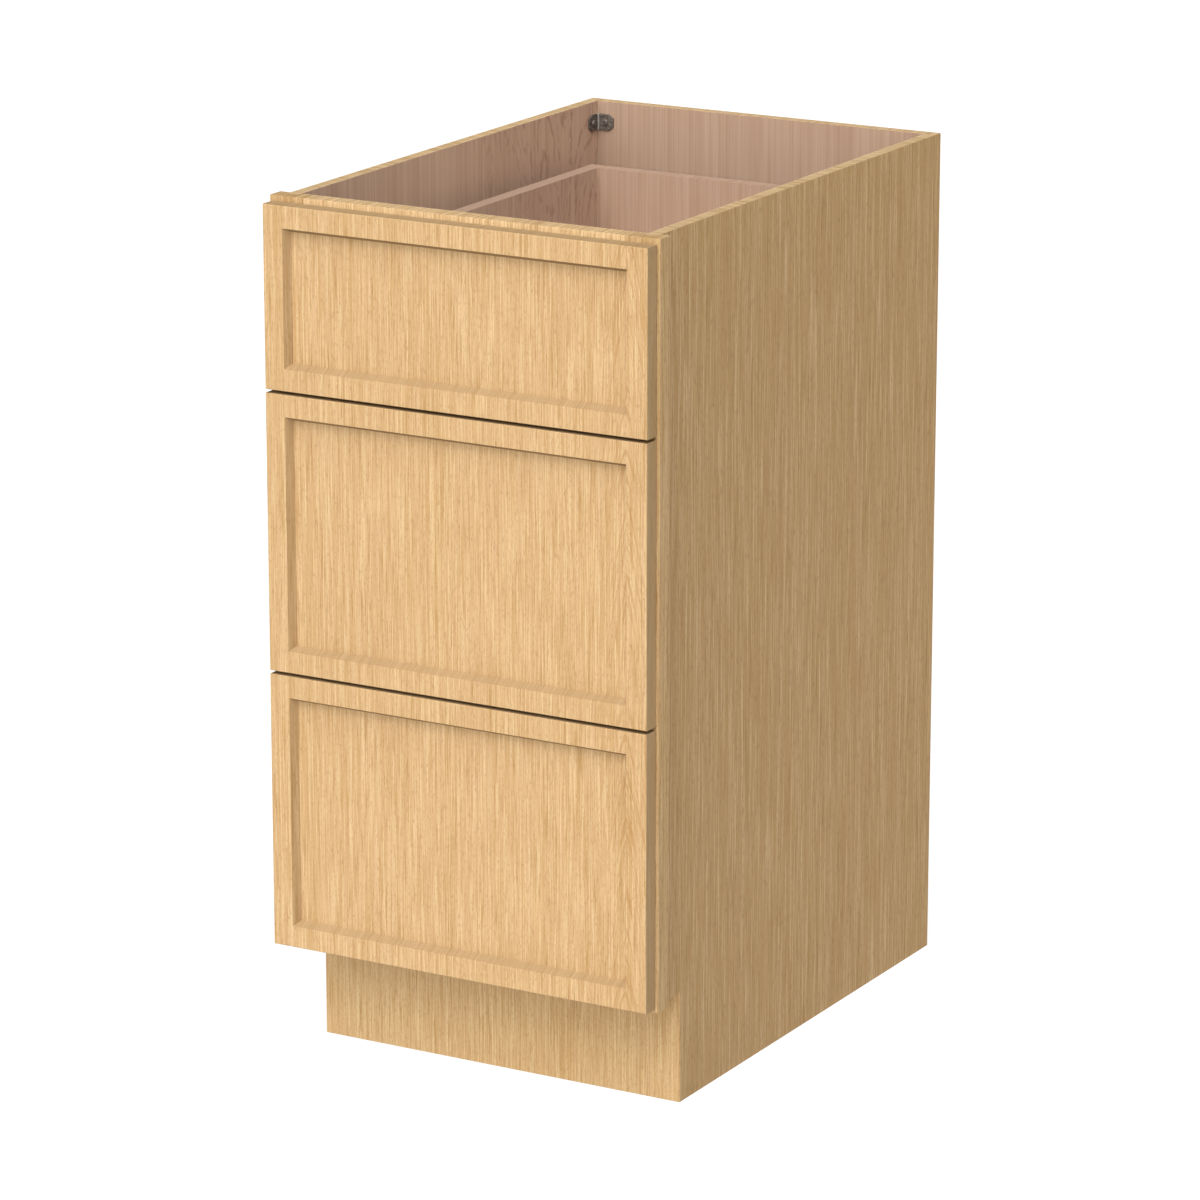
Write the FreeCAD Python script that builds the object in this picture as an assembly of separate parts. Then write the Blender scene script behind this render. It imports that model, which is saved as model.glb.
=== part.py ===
import FreeCAD, Part
import math
import os

os.makedirs("parts", exist_ok=True)

# Three-drawer face-frame base cabinet, open on top for a worktop.
# Millimetres. +Z is up, the drawer fronts face -Y, the origin is on the floor
# under the middle of the whole cabinet with its drawers shut.

# Carcass
cabinet_width = 431.8          # across the face frame
cabinet_height = 876.3         # floor to worktop seat
cabinet_depth = 609.6          # front of the face frame to the back
side_thickness = 12.7
back_thickness = 12.7
bottom_thickness = 12.7
side_inset = 11.1              # side panel in from the face frame's outer edge
housing_depth = 6.35           # dadoes and rabbets that the panels sit in

# Toe kick
kick_height = 114.3
kick_setback = 63.5            # facing, back from the front of the face frame
kick_facing_thickness = 6.35
kick_board_thickness = 12.7

# Face frame
frame_thickness = 19.05
stile_width = 38.1
rail_width = 38.1
tenon_length = 9.5
tenon_thickness = 6.35
tenon_shoulder = 6.35

# Drawer fronts
front_thickness = 18.0
front_side_reveal = 3.2        # frame edge that shows beside a front
front_top_reveal = 5.5
front_bottom_reveal = 4.1
front_gap = 3.5                # between one front and the next
top_front_height = 183.4
front_frame_width = 22.2       # flat face of the front's stiles and rails
front_bevel_width = 4.5
front_recess = 9.5             # panel face behind the frame face
front_panel_tongue = 6.35      # thickness of the panel's edge
front_groove_depth = 8.0
front_panel_play = 0.3
front_edge_radius = 1.0
bumper_gap = 1.0               # front to face frame
bumper_thickness = 0.8
bumper_radius = 4.0
bumper_inset = 9.0             # bumper centre from the corner of the opening

# Drawer boxes
box_side_clearance = 6.0       # box to the edge of the frame opening
box_lift = 13.7                # box over the lower edge of the opening
box_headroom = 20.0
box_rear_clearance = 48.1      # box to the back panel, room for the rear sockets
box_stock = 15.0
box_bottom_thickness = 9.5
box_bottom_recess = 12.7       # bottom panel above the lower edge of the sides
box_groove_depth = 6.0
tail_length = 10.0
tail_pitch = 25.0
tail_share = 0.5               # tail's root as a share of the pitch
tail_slope = 1.0 / 6.0

# Undermount runners
runner_steel = 1.5
runner_width = 24.0
runner_channel_height = 11.0
runner_lip = 5.0
runner_clearance = 0.3         # between members
runner_side_clearance = 0.8    # drawer member to drawer side
runner_lift = 2.6              # runner over the lower edge of the opening
runner_flange_height = 28.0
runner_front_setback = 3.0
runner_rear_setback = 0.8      # fixed member ends short of the back of the box
runner_middle_setback = 5.0    # so does the floating member
runner_web = 3.0
runner_screw_height = 18.0
hook_width = 12.0              # tab behind the box back, with a pin into it
hook_height = 14.0
hook_pin_radius = 2.5
hook_pin_length = 9.0
hook_pin_height = 9.0          # pin above the runner

# Rear sockets of the runners
socket_wall = 2.0
socket_overlap = 14.0          # length of runner held in the socket
socket_plate_height = 46.0
socket_plate_margin = 5.0
socket_screw_height = 36.0

# Front locking clips
clip_width = 34.0
clip_length = 46.0
clip_height = 10.0
clip_plate = 3.0
clip_lever_width = 9.0
clip_lever_length = 18.0
clip_radius = 3.0

# Corner brackets
bracket_steel = 2.0
bracket_wing = 20.0
bracket_height = 17.5
bracket_drop = 13.3            # top of the bracket below the worktop seat
bracket_taper = 5.5
bracket_tip_height = 9.5
bracket_screw_offset = 10.7    # screw from the corner

# Screws
screw_radius = 1.75
screw_head_radius = 3.6
screw_head_top_radius = 2.2
screw_head_height = 1.8
screw_play = 0.1               # pilot hole round the shank
screw_head_sides = 8           # small round things are drawn with few sides
screw_shank_sides = 6
pad_sides = 12
bracket_screw_length = 10.0    # into the wood
runner_screw_length = 15.0
socket_screw_length = 10.0
front_screw_bite = 7.0         # into the front's panel
front_screw_spread = 0.62      # screws apart, as a share of the box width
front_screw_margin = 22.0      # from the edges of the box front

# Worked-out places
half_width = cabinet_width / 2
total_depth = cabinet_depth + bumper_gap + front_thickness
front_face_y = -total_depth / 2
front_back_y = front_face_y + front_thickness
frame_y = front_back_y + bumper_gap
frame_back_y = frame_y + frame_thickness
back_y = frame_y + cabinet_depth
back_inner_y = back_y - back_thickness
side_outer_x = half_width - side_inset
side_inner_x = side_outer_x - side_thickness
opening_x = half_width - stile_width
kick_facing_y = frame_y + kick_setback
kick_board_y = kick_facing_y + kick_facing_thickness
bottom_top_z = kick_height + rail_width
bottom_under_z = bottom_top_z - bottom_thickness
box_outer_x = opening_x - box_side_clearance
box_inner_x = box_outer_x - box_stock
box_back_y = back_inner_y - box_rear_clearance
runner_outer_x = box_inner_x - runner_side_clearance
runner_inner_x = runner_outer_x - runner_width
runner_middle_x = (runner_outer_x + runner_inner_x) / 2
runner_front_y = frame_y + runner_front_setback
runner_back_y = box_back_y - runner_rear_setback
runner_moving_y = front_back_y + box_stock + runner_clearance
runner_middle_back_y = box_back_y - runner_middle_setback

# The fronts share the height of the face frame; the two lower ones are equal.
lower_front_height = (cabinet_height - kick_height - front_top_reveal - front_bottom_reveal
                      - top_front_height - 2 * front_gap) / 2
top_front_z = cabinet_height - front_top_reveal - top_front_height
middle_front_z = top_front_z - front_gap - lower_front_height
bottom_front_z = middle_front_z - front_gap - lower_front_height
front_spans = {
    "top": (top_front_z, top_front_z + top_front_height),
    "middle": (middle_front_z, middle_front_z + lower_front_height),
    "bottom": (bottom_front_z, bottom_front_z + lower_front_height),
}

# Each middle rail is centred behind a gap between two fronts.
rail_bottoms = {
    "face_frame_top_rail": cabinet_height - rail_width,
    "face_frame_upper_mid_rail": top_front_z - (front_gap + rail_width) / 2,
    "face_frame_lower_mid_rail": middle_front_z - (front_gap + rail_width) / 2,
    "face_frame_bottom_rail": kick_height,
}
opening_spans = {
    "top": (rail_bottoms["face_frame_upper_mid_rail"] + rail_width,
            rail_bottoms["face_frame_top_rail"]),
    "middle": (rail_bottoms["face_frame_lower_mid_rail"] + rail_width,
               rail_bottoms["face_frame_upper_mid_rail"]),
    "bottom": (rail_bottoms["face_frame_bottom_rail"] + rail_width,
               rail_bottoms["face_frame_lower_mid_rail"]),
}

LEFT, RIGHT = -1, 1


def box(x0, x1, y0, y1, z0, z1):
    """Box between two corners; each pair may be given in either order."""
    low = FreeCAD.Vector(min(x0, x1), min(y0, y1), min(z0, z1))
    return Part.makeBox(abs(x1 - x0), abs(y1 - y0), abs(z1 - z0), low)


def prism(points, along):
    """Solid swept from a closed outline of points along a vector."""
    outline = [FreeCAD.Vector(*point) for point in points]
    face = Part.Face(Part.makePolygon(outline + outline[:1]))
    return face.extrude(FreeCAD.Vector(*along))


def ring(centre, direction, radius, sides):
    """Regular outline round a level axis."""
    up = FreeCAD.Vector(0, 0, 1)
    across = direction.cross(up)
    corners = []
    for index in range(sides):
        turn = 2 * math.pi * (index + 0.5) / sides
        corners.append(centre + (across * math.cos(turn) + up * math.sin(turn)) * radius)
    return Part.makePolygon(corners + corners[:1])


def bar(start, direction, length, radius, end_radius, sides):
    """Straight or tapered many-sided bar along a level direction."""
    end = start + direction * length
    return Part.makeLoft([ring(start, direction, radius, sides),
                          ring(end, direction, end_radius, sides)], True, True)


def one_solid(shape):
    """Clean a boolean result that is a single piece."""
    return shape.removeSplitter().Solids[0]


def export(name, solids):
    """Write one named sub-part, made of one or more separate solids."""
    shape = solids[0] if len(solids) == 1 else Part.makeCompound(solids)
    shape.exportStep("parts/" + name + ".step")


def screw(seat, direction, length):
    """Low-headed screw: its head stands on the seat, its shank runs along direction."""
    seat = FreeCAD.Vector(*seat)
    direction = FreeCAD.Vector(*direction)
    head = bar(seat, direction * -1, screw_head_height, screw_head_radius,
               screw_head_top_radius, screw_head_sides)
    shank = bar(seat, direction, length, screw_radius, screw_radius, screw_shank_sides)
    return one_solid(head.fuse(shank))


def screw_hole(seat, direction, length):
    """Hole that clears the shank of the screw made with the same values."""
    seat = FreeCAD.Vector(*seat)
    direction = FreeCAD.Vector(*direction)
    radius = screw_radius + screw_play
    return bar(seat, direction, length + screw_play, radius, radius, screw_shank_sides)


def drilled(piece, screws):
    """Piece with the holes of the screws that reach it."""
    holes = [screw_hole(*values) for values in screws]
    reached = [hole for hole in holes if piece.common(hole).Volume > 0]
    return one_solid(piece.cut(Part.makeCompound(reached))) if reached else piece


# ---------------------------------------------------------------- screw places

def runner_screw_places():
    """One screw through each runner's flange into the edge of the stile."""
    places = []
    for low, high in opening_spans.values():
        for side in (LEFT, RIGHT):
            seat = (side * (opening_x - runner_steel), (frame_y + frame_back_y) / 2,
                    low + runner_lift + runner_screw_height)
            places.append((seat, (side, 0, 0), runner_steel + runner_screw_length))
    return places


def socket_screw_places():
    """Two screws hold each rear socket to the back panel."""
    places = []
    reach = runner_width / 2 + socket_wall + socket_plate_margin
    for low, high in opening_spans.values():
        for side in (LEFT, RIGHT):
            for shift in (-reach / 2, reach / 2):
                seat = (side * (runner_middle_x + shift), back_inner_y - socket_wall,
                        low + runner_lift + socket_screw_height)
                places.append((seat, (0, 1, 0), socket_wall + socket_screw_length))
    return places


def bracket_screw_places():
    """Each corner bracket has one screw in each wing."""
    places = []
    height = cabinet_height - bracket_drop - bracket_height / 2
    length = bracket_steel + bracket_screw_length
    for side in (LEFT, RIGHT):
        for corner_y, into in ((frame_back_y, -1), (back_inner_y, 1)):
            on_side = (side * (side_inner_x - bracket_steel),
                       corner_y - into * bracket_screw_offset, height)
            on_end = (side * (side_inner_x - bracket_screw_offset),
                      corner_y - into * bracket_steel, height)
            places.append((on_side, (side, 0, 0), length))
            places.append((on_end, (0, into, 0), length))
    return places


runner_screws = runner_screw_places()
socket_screws = socket_screw_places()
bracket_screws = bracket_screw_places()

# ---------------------------------------------------------------- carcass


def bottom_panel():
    """Cabinet bottom, housed in both sides, level with the bottom rail."""
    reach = side_inner_x + housing_depth
    return box(-reach, reach, frame_back_y, back_inner_y, bottom_under_z, bottom_top_z)


def back_panel():
    """Full-height back, set in a rabbet in each side."""
    reach = side_inner_x + housing_depth
    return box(-reach, reach, back_inner_y, back_y, 0, cabinet_height)


def side_panel(side):
    """Side with its toe notch, its front edge housed in the stile."""
    front = frame_back_y - housing_depth
    outline = [
        (side * side_outer_x, front, kick_height),
        (side * side_outer_x, front, cabinet_height),
        (side * side_outer_x, back_y, cabinet_height),
        (side * side_outer_x, back_y, 0),
        (side * side_outer_x, kick_board_y, 0),
        (side * side_outer_x, kick_board_y, kick_height),
    ]
    panel = prism(outline, (-side * side_thickness, 0, 0))
    return one_solid(panel.cut([bottom_panel(), back_panel()]))


def kick_board():
    """Board between the sides that carries the front of the bottom panel."""
    return box(-side_inner_x, side_inner_x, kick_board_y, kick_board_y + kick_board_thickness,
               0, bottom_under_z)


def kick_facing():
    """Finished strip over the board and the front edges of both sides."""
    return box(-side_outer_x, side_outer_x, kick_facing_y, kick_board_y, 0, kick_height)


# ---------------------------------------------------------------- face frame


def frame_rail(low):
    """Rail between the stiles, with a stub tenon on each end."""
    rail = box(-opening_x, opening_x, frame_y, frame_back_y, low, low + rail_width)
    middle_y = (frame_y + frame_back_y) / 2
    reach = opening_x + tenon_length
    tenons = box(-reach, reach, middle_y - tenon_thickness / 2, middle_y + tenon_thickness / 2,
                 low + tenon_shoulder, low + rail_width - tenon_shoulder)
    return one_solid(rail.fuse(tenons))


def frame_stile(side, rails, panel):
    """Stile, mortised for the rails and grooved behind for the side panel."""
    stile = box(side * half_width, side * opening_x, frame_y, frame_back_y,
                kick_height, cabinet_height)
    return one_solid(stile.cut(rails + [panel]))


def bumpers():
    """Clear pads on the frame that the corners of each front close on."""
    pads = []
    for low, high in opening_spans.values():
        for side in (LEFT, RIGHT):
            for height in (low + bumper_inset, high - bumper_inset):
                centre = FreeCAD.Vector(side * (opening_x + bumper_inset), frame_y, height)
                pads.append(bar(centre, FreeCAD.Vector(0, -1, 0), bumper_thickness,
                                bumper_radius, bumper_radius, pad_sides))
    return pads


# ---------------------------------------------------------------- corner brackets


def corner_bracket(side, corner_y, into):
    """Steel angle in a top corner; both wings taper towards their tips."""
    top = cabinet_height - bracket_drop
    middle = top - bracket_height / 2
    half, tip = bracket_height / 2, bracket_tip_height / 2
    wing = [(0, middle - half), (bracket_wing - bracket_taper, middle - half),
            (bracket_wing, middle - tip), (bracket_wing, middle + tip),
            (bracket_wing - bracket_taper, middle + half), (0, middle + half)]
    on_side = prism([(side * side_inner_x, corner_y - into * reach, z) for reach, z in wing],
                    (-side * bracket_steel, 0, 0))
    on_end = prism([(side * (side_inner_x - reach), corner_y, z) for reach, z in wing],
                   (0, -into * bracket_steel, 0))
    return drilled(one_solid(on_side.fuse(on_end)), bracket_screws)


# ---------------------------------------------------------------- runners


def channel_outline(low, up):
    """Channel with turned-in lips, opening upwards (up = 1) or downwards (up = -1)."""
    wall = runner_width / 2
    inner = wall - runner_steel
    slot = wall - runner_steel - runner_lip
    edge = runner_channel_height - runner_steel
    outline = [(-wall, 0), (wall, 0), (wall, runner_channel_height),
               (slot, runner_channel_height), (slot, edge), (inner, edge),
               (inner, runner_steel), (-inner, runner_steel), (-inner, edge),
               (-slot, edge), (-slot, runner_channel_height), (-wall, runner_channel_height)]
    return [(x, low + up * z) for x, z in outline]


def runner_levels(drawer):
    """Lowest and highest level of a drawer's runners."""
    low, high = opening_spans[drawer]
    return low + runner_lift, low + box_lift + box_bottom_recess


def cabinet_member(side, drawer):
    """Fixed member: a channel on a foot, with a flange screwed to the stile."""
    low, high = runner_levels(drawer)
    centre = side * runner_middle_x
    channel = prism([(centre + x, runner_front_y, z) for x, z in channel_outline(low, 1)],
                    (0, runner_back_y - runner_front_y, 0))
    foot = box(side * opening_x, centre, runner_front_y, runner_back_y, low, low + runner_steel)
    flange = box(side * opening_x, side * (opening_x - runner_steel), runner_front_y,
                 runner_back_y, low, low + runner_flange_height)
    return drilled(one_solid(channel.fuse([foot, flange])), runner_screws)


def middle_member(side, drawer):
    """Floating member: two troughs back to back, one in each channel."""
    low, high = runner_levels(drawer)
    floor = low + runner_steel + runner_clearance
    ceiling = high - runner_steel - runner_clearance
    half = runner_width / 2 - runner_steel - runner_clearance
    rise = runner_channel_height - 2 * (runner_steel + runner_clearance)
    centre = side * runner_middle_x
    start, end = runner_moving_y, runner_middle_back_y
    web = box(centre - runner_web / 2, centre + runner_web / 2, start, end, floor, ceiling)
    plates = []
    for level, up in ((floor, 1), (ceiling, -1)):
        plates.append(box(centre - half, centre + half, start, end,
                          level, level + up * runner_steel))
        for edge in (-1, 1):
            plates.append(box(centre + edge * half, centre + edge * (half - runner_steel),
                              start, end, level, level + up * rise))
    return one_solid(web.fuse(plates))


def hook_pin(side, drawer, play):
    """Pin of the rear hook, or with play the hole for it in the box back."""
    low, high = runner_levels(drawer)
    start = FreeCAD.Vector(side * runner_middle_x, box_back_y, high + hook_pin_height)
    return bar(start, FreeCAD.Vector(0, -1, 0), hook_pin_length + play,
               hook_pin_radius + play, hook_pin_radius + play, screw_head_sides)


def drawer_member(side, drawer):
    """Upper member, under the drawer bottom, with a hook up behind the box back."""
    low, high = runner_levels(drawer)
    centre = side * runner_middle_x
    outline = [(centre + x, runner_moving_y, z) for x, z in channel_outline(high, -1)]
    channel = prism(outline, (0, box_back_y - runner_moving_y, 0))
    tab = box(centre - hook_width / 2, centre + hook_width / 2, box_back_y,
              box_back_y + runner_steel, high - runner_steel, high + hook_height)
    return one_solid(channel.fuse([tab, hook_pin(side, drawer, 0)]))


def rear_socket(side, drawer):
    """Moulded socket on the back panel that holds the rear end of the runner."""
    low, high = runner_levels(drawer)
    centre = side * runner_middle_x
    half = runner_width / 2 + runner_clearance
    outer = half + socket_wall
    front = runner_back_y - socket_overlap
    under = low - runner_clearance - socket_wall
    shell = box(centre - outer, centre + outer, front, back_inner_y, under,
                low + runner_channel_height)
    hollow = box(centre - half, centre + half, front, back_inner_y - socket_wall,
                 low - runner_clearance, low + runner_channel_height)
    foot_slot = box(centre, side * opening_x, front, runner_back_y + runner_clearance,
                    low - runner_clearance, low + runner_steel + runner_clearance)
    stop = box(centre - half, centre + half, runner_back_y + runner_clearance,
               runner_back_y + runner_clearance + socket_wall, low - runner_clearance,
               low + runner_channel_height)
    plate = box(centre - outer - socket_plate_margin, centre + outer + socket_plate_margin,
                back_inner_y - socket_wall, back_inner_y, under, under + socket_plate_height)
    body = shell.cut(hollow).fuse([stop, plate]).cut(foot_slot)
    return drilled(one_solid(body), socket_screws)


# ---------------------------------------------------------------- drawer boxes


def box_levels(drawer):
    """Lowest and highest level of a drawer box."""
    low, high = opening_spans[drawer]
    return low + box_lift, high - box_headroom


def box_bottom(drawer):
    """Bottom panel, held in a groove on all four sides."""
    low, high = box_levels(drawer)
    reach = box_inner_x + box_groove_depth
    return box(-reach, reach, front_back_y + box_stock - box_groove_depth,
               box_back_y - box_stock + box_groove_depth,
               low + box_bottom_recess, low + box_bottom_recess + box_bottom_thickness)


def tails(side, drawer, root_y, into):
    """Row of dovetails on the end of a drawer side; into is the way they point."""
    low, high = box_levels(drawer)
    count = max(2, int(round((high - low) / tail_pitch)))
    pitch = (high - low) / count
    root = pitch * tail_share / 2
    tip = root + tail_length * tail_slope
    row = []
    for index in range(count):
        middle = low + pitch * (index + 0.5)
        outline = [(side * box_outer_x, root_y, middle - root),
                   (side * box_outer_x, root_y + into * tail_length, middle - tip),
                   (side * box_outer_x, root_y + into * tail_length, middle + tip),
                   (side * box_outer_x, root_y, middle + root)]
        row.append(prism(outline, (-side * box_stock, 0, 0)))
    return row


def box_side(side, drawer):
    """Drawer side with dovetails on both ends and a groove for the bottom."""
    low, high = box_levels(drawer)
    front, back = front_back_y + box_stock, box_back_y - box_stock
    plank = box(side * box_outer_x, side * box_inner_x, front, back, low, high)
    ends = tails(side, drawer, front, -1) + tails(side, drawer, back, 1)
    return one_solid(plank.fuse(ends).cut(box_bottom(drawer)))


def front_screw_places(drawer):
    """Four screws from inside the box, through its front, into the drawer front."""
    low, high = box_levels(drawer)
    places = []
    for side in (LEFT, RIGHT):
        for height in (low + box_bottom_recess + box_bottom_thickness + front_screw_margin,
                       high - front_screw_margin):
            seat = (side * box_inner_x * front_screw_spread, front_back_y + box_stock, height)
            places.append((seat, (0, -1, 0), box_stock + front_screw_bite))
    return places


def box_front(drawer, sides):
    """Box front, with blind dovetail sockets in both ends."""
    low, high = box_levels(drawer)
    plank = box(-box_outer_x, box_outer_x, front_back_y, front_back_y + box_stock, low, high)
    return drilled(one_solid(plank.cut(sides + [box_bottom(drawer)])),
                   front_screw_places(drawer))


def box_back(drawer, sides):
    """Box back, notched below on both sides for the runners."""
    low, high = box_levels(drawer)
    plank = box(-box_outer_x, box_outer_x, box_back_y - box_stock, box_back_y, low, high)
    notches = [box(side * box_inner_x, side * (runner_inner_x - runner_side_clearance),
                   box_back_y - box_stock, box_back_y, low, low + box_bottom_recess)
               for side in (LEFT, RIGHT)]
    holes = [hook_pin(side, drawer, screw_play) for side in (LEFT, RIGHT)]
    return one_solid(plank.cut(sides + [box_bottom(drawer)] + notches + holes))


def locking_clip(side, drawer):
    """Moulded clip under the drawer bottom that grips the front of the runner."""
    low, high = runner_levels(drawer)
    outer = runner_inner_x - runner_clearance
    inner = outer - clip_width
    start = front_back_y + box_stock
    middle = start + clip_length / 2
    plate = box(side * outer, side * inner, start, start + clip_length, high - clip_plate, high)
    body = box(side * outer, side * (inner + clip_plate), start, middle + clip_radius,
               high - clip_height, high)
    upright = [edge for edge in body.Edges
               if abs(edge.tangentAt(edge.FirstParameter).z) > 0.99]
    body = body.makeFillet(clip_radius, upright)
    lever = box(side * (outer - clip_lever_width), side * outer, middle,
                middle + clip_lever_length, high - clip_height, high - clip_height + clip_plate)
    post = box(side * (outer - clip_plate), side * outer, middle,
               middle + clip_radius + clip_plate, high - clip_height, high)
    return one_solid(plate.fuse([body, lever, post]))


# ---------------------------------------------------------------- drawer fronts


def member_outline(width_sign):
    """Section of a front's frame member: across it, then back from the front face.

    The flat face ends in a bevel down to the panel; a groove holds the panel's tongue.
    """
    inner = front_frame_width + front_bevel_width
    tongue_back = front_recess + front_panel_tongue
    outline = [(0, 0), (front_frame_width, 0), (inner, front_recess),
               (inner - front_groove_depth, front_recess),
               (inner - front_groove_depth, tongue_back), (inner, tongue_back),
               (inner, front_thickness), (0, front_thickness)]
    return [(width_sign * across, front_face_y + back) for across, back in outline]


def front_blank(drawer):
    """Outer shape of a drawer front, its front edges eased."""
    low, high = front_spans[drawer]
    reach = half_width - front_side_reveal
    blank = box(-reach, reach, front_face_y, front_back_y, low, high)
    face_edges = [edge for edge in blank.Edges
                  if all(abs(v.Y - front_face_y) < 1e-6 for v in edge.Vertexes)]
    return blank.makeFillet(front_edge_radius, face_edges)


def front_stile(side, drawer):
    """Upright of a drawer front, full height, bevelled on its inner edge."""
    low, high = front_spans[drawer]
    reach = half_width - front_side_reveal
    outline = [(side * reach + x, y, low) for x, y in member_outline(-side)]
    return one_solid(prism(outline, (0, 0, high - low)).common(front_blank(drawer)))


def front_rail(edge, drawer, stiles):
    """Rail of a drawer front, coped over the stiles' bevels, its tenons in their grooves."""
    low, high = front_spans[drawer]
    level = low if edge < 0 else high
    reach = (half_width - front_side_reveal - front_frame_width - front_bevel_width
             + front_groove_depth)
    outline = [(-reach, y, level + z) for z, y in member_outline(-edge)]
    rail = prism(outline, (2 * reach, 0, 0)).common(front_blank(drawer))
    return one_solid(rail.cut(stiles))


def front_panel(drawer):
    """Flat panel, rabbeted behind to leave a tongue all round; its back is flush."""
    low, high = front_spans[drawer]
    edge = front_frame_width + front_bevel_width
    reach = half_width - front_side_reveal - edge
    play = front_panel_play
    grow = front_groove_depth - play
    body = box(-reach + play, reach - play, front_face_y + front_recess, front_back_y,
               low + edge + play, high - edge - play)
    tongue = box(-reach - grow, reach + grow, front_face_y + front_recess,
                 front_face_y + front_recess + front_panel_tongue,
                 low + edge - grow, high - edge + grow)
    return drilled(one_solid(body.fuse(tongue)), front_screw_places(drawer))


# ---------------------------------------------------------------- make everything

sides = {side: side_panel(side) for side in (LEFT, RIGHT)}
rails = {name: frame_rail(low) for name, low in rail_bottoms.items()}
stiles = {side: frame_stile(side, list(rails.values()), sides[side]) for side in (LEFT, RIGHT)}
cabinet_screws = runner_screws + bracket_screws

export("left_side_panel", [drilled(sides[LEFT], bracket_screws)])
export("right_side_panel", [drilled(sides[RIGHT], bracket_screws)])
export("back_panel", [drilled(back_panel(), socket_screws + bracket_screws)])
export("bottom_panel", [bottom_panel()])
export("toe_kick_board", [kick_board()])
export("toe_kick_facing", [kick_facing()])
export("face_frame_left_stile", [drilled(stiles[LEFT], cabinet_screws)])
export("face_frame_right_stile", [drilled(stiles[RIGHT], cabinet_screws)])
for name, rail in rails.items():
    export(name, [drilled(rail, cabinet_screws)])
export("drawer_bumpers", bumpers())
export("corner_brackets", [corner_bracket(side, corner_y, into) for side in (LEFT, RIGHT)
                           for corner_y, into in ((frame_back_y, -1), (back_inner_y, 1))])
export("corner_bracket_screws", [screw(*values) for values in bracket_screws])
export("runner_screws", [screw(*values) for values in runner_screws + socket_screws])
export("runner_rear_sockets", [rear_socket(side, drawer) for drawer in opening_spans
                               for side in (LEFT, RIGHT)])

for drawer in opening_spans:
    both = (LEFT, RIGHT)
    box_sides = [box_side(side, drawer) for side in both]
    export(drawer + "_runner_cabinet_members", [cabinet_member(side, drawer) for side in both])
    export(drawer + "_runner_middle_members", [middle_member(side, drawer) for side in both])
    export(drawer + "_runner_drawer_members", [drawer_member(side, drawer) for side in both])
    export(drawer + "_drawer_locking_clips", [locking_clip(side, drawer) for side in both])
    export(drawer + "_drawer_box_left_side", [box_sides[0]])
    export(drawer + "_drawer_box_right_side", [box_sides[1]])
    export(drawer + "_drawer_box_front", [box_front(drawer, box_sides)])
    export(drawer + "_drawer_box_back", [box_back(drawer, box_sides)])
    export(drawer + "_drawer_box_bottom", [box_bottom(drawer)])
    front_stiles = [front_stile(side, drawer) for side in both]
    export(drawer + "_drawer_front_stiles", front_stiles)
    export(drawer + "_drawer_front_rails", [front_rail(edge, drawer, front_stiles)
                                            for edge in (-1, 1)])
    export(drawer + "_drawer_front_panel", [front_panel(drawer)])
    export(drawer + "_drawer_front_screws",
           [screw(*values) for values in front_screw_places(drawer)])
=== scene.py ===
"""Looks of a three-drawer base cabinet: rift oak outside, maple-look boards inside, steel runners."""

from math import radians

import bmesh
import bpy
from mathutils import Matrix, Vector


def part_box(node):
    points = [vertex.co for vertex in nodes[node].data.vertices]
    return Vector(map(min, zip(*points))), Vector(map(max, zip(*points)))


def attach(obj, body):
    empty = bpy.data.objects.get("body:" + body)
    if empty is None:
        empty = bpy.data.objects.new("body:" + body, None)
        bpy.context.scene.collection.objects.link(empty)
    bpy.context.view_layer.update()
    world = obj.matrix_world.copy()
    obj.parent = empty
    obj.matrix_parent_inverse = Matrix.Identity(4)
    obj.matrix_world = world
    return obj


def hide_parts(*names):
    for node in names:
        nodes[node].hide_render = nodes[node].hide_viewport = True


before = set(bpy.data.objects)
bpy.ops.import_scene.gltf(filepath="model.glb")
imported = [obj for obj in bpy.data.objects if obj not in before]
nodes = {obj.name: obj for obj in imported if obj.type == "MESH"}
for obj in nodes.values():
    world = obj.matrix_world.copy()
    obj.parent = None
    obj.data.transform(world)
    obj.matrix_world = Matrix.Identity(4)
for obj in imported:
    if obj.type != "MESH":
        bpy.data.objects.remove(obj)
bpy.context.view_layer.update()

MM = 0.001
DRAWERS = ("top", "middle", "bottom")


def per_drawer(*endings):
    """Node names of these pieces of every drawer."""
    return [f"{drawer}_{ending}" for drawer in DRAWERS for ending in endings]


# ---------------------------------------------------------------- colours and nodes

def linear(hex_colour):
    """The linear colour, with full alpha, of an sRGB hex value."""
    channels = [int(hex_colour[i:i + 2], 16) / 255 for i in (1, 3, 5)]
    return [c / 12.92 if c <= 0.04045 else ((c + 0.055) / 1.055) ** 2.4 for c in channels] + [1.0]


def add(tree, kind, inputs=None, output=0, **settings):
    """Adds one node with its settings, sets or links its inputs, and gives one of its outputs."""
    made = tree.nodes.new("ShaderNode" + kind)
    for name, value in settings.items():
        setattr(made, name, value)
    for name, value in (inputs or {}).items():
        if isinstance(value, bpy.types.NodeSocket):
            tree.links.new(value, made.inputs[name])
        else:
            made.inputs[name].default_value = value
    return made.outputs[output]


# Socket places on a Mix node, for colours and for directions.
SHARE = 0
COLOUR_A, COLOUR_B, COLOUR_OUT = 6, 7, 2
DIRECTION_A, DIRECTION_B, DIRECTION_OUT = 4, 5, 1


def new_material(name, **shader_values):
    """A material whose shader has these plain values, with its node tree and its shader."""
    material = bpy.data.materials.new(name)
    material.use_nodes = True
    shader = material.node_tree.nodes["Principled BSDF"]
    for socket, value in shader_values.items():
        shader.inputs[socket.replace("_", " ")].default_value = value
    return material, material.node_tree, shader


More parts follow.
